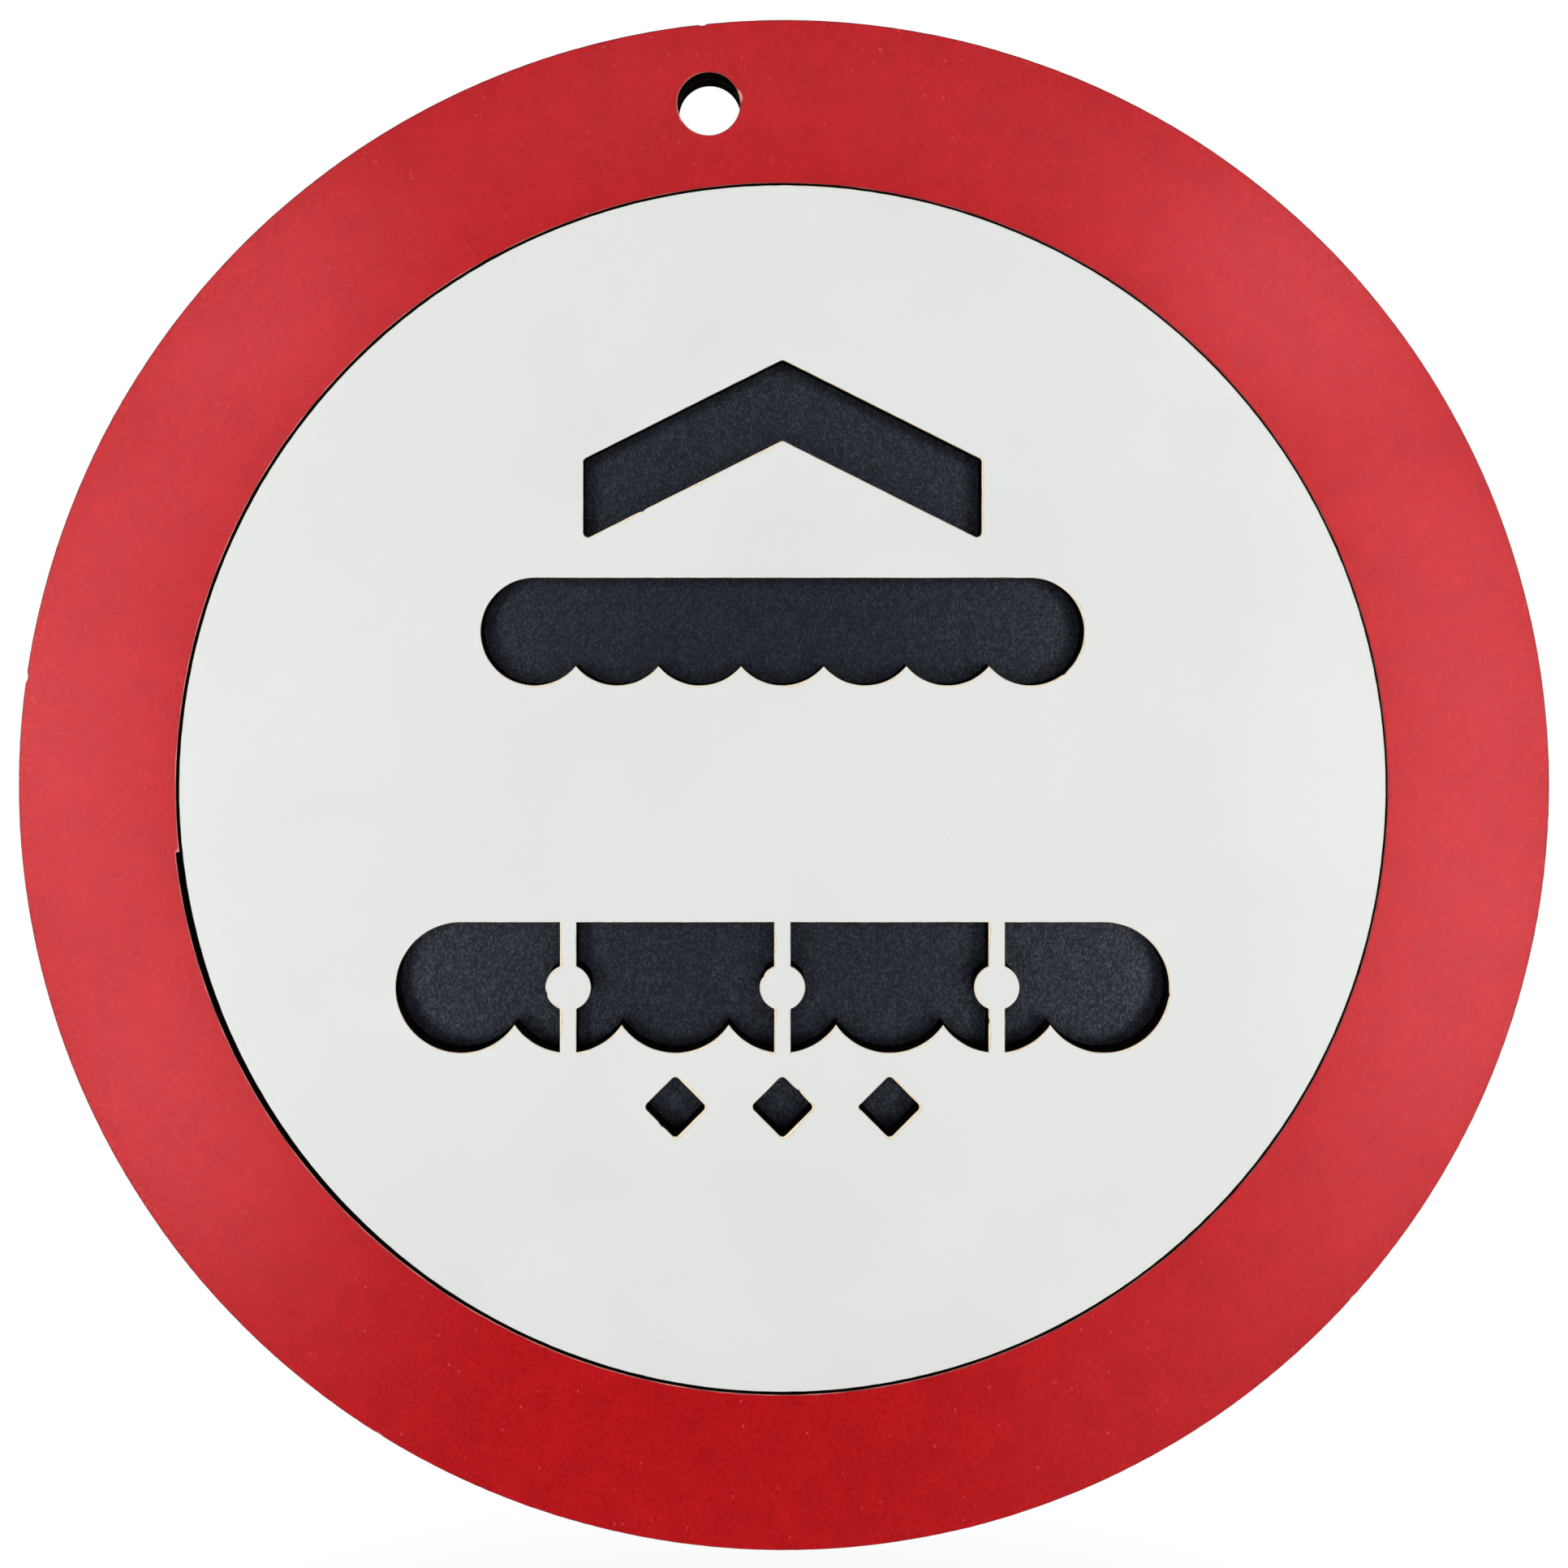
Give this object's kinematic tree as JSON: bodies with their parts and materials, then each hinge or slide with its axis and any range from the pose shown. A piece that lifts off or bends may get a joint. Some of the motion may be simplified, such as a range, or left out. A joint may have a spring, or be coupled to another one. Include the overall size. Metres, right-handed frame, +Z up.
{
  "type": "prohibition sign",
  "caption": "Round hanging sign of layered board: a red ring around a white stencil panel, both glued to a black backing board, with a hole near the rim to hang it by.",
  "frame": {"origin": "centre of the round back face, on the wall side of the sign", "axes": "+Z up as the sign hangs, +X to the right seen from the front, +Y into the wall; the coloured face looks towards -Y"},
  "size_m": [0.2, 0.006, 0.2],
  "materials": {
    "black_board": "satin black-faced fibreboard with a fine grain and charred laser-cut edges",
    "red_board": "satin red-faced fibreboard with a fine leathery grain and charred laser-cut edges",
    "white_board": "smooth satin white-faced fibreboard with charred laser-cut edges"
  },
  "bodies": {
    "root": {"backing_board": "black_board", "red_ring": "red_board", "white_panel": "white_board"}
  },
  "joints": []
}
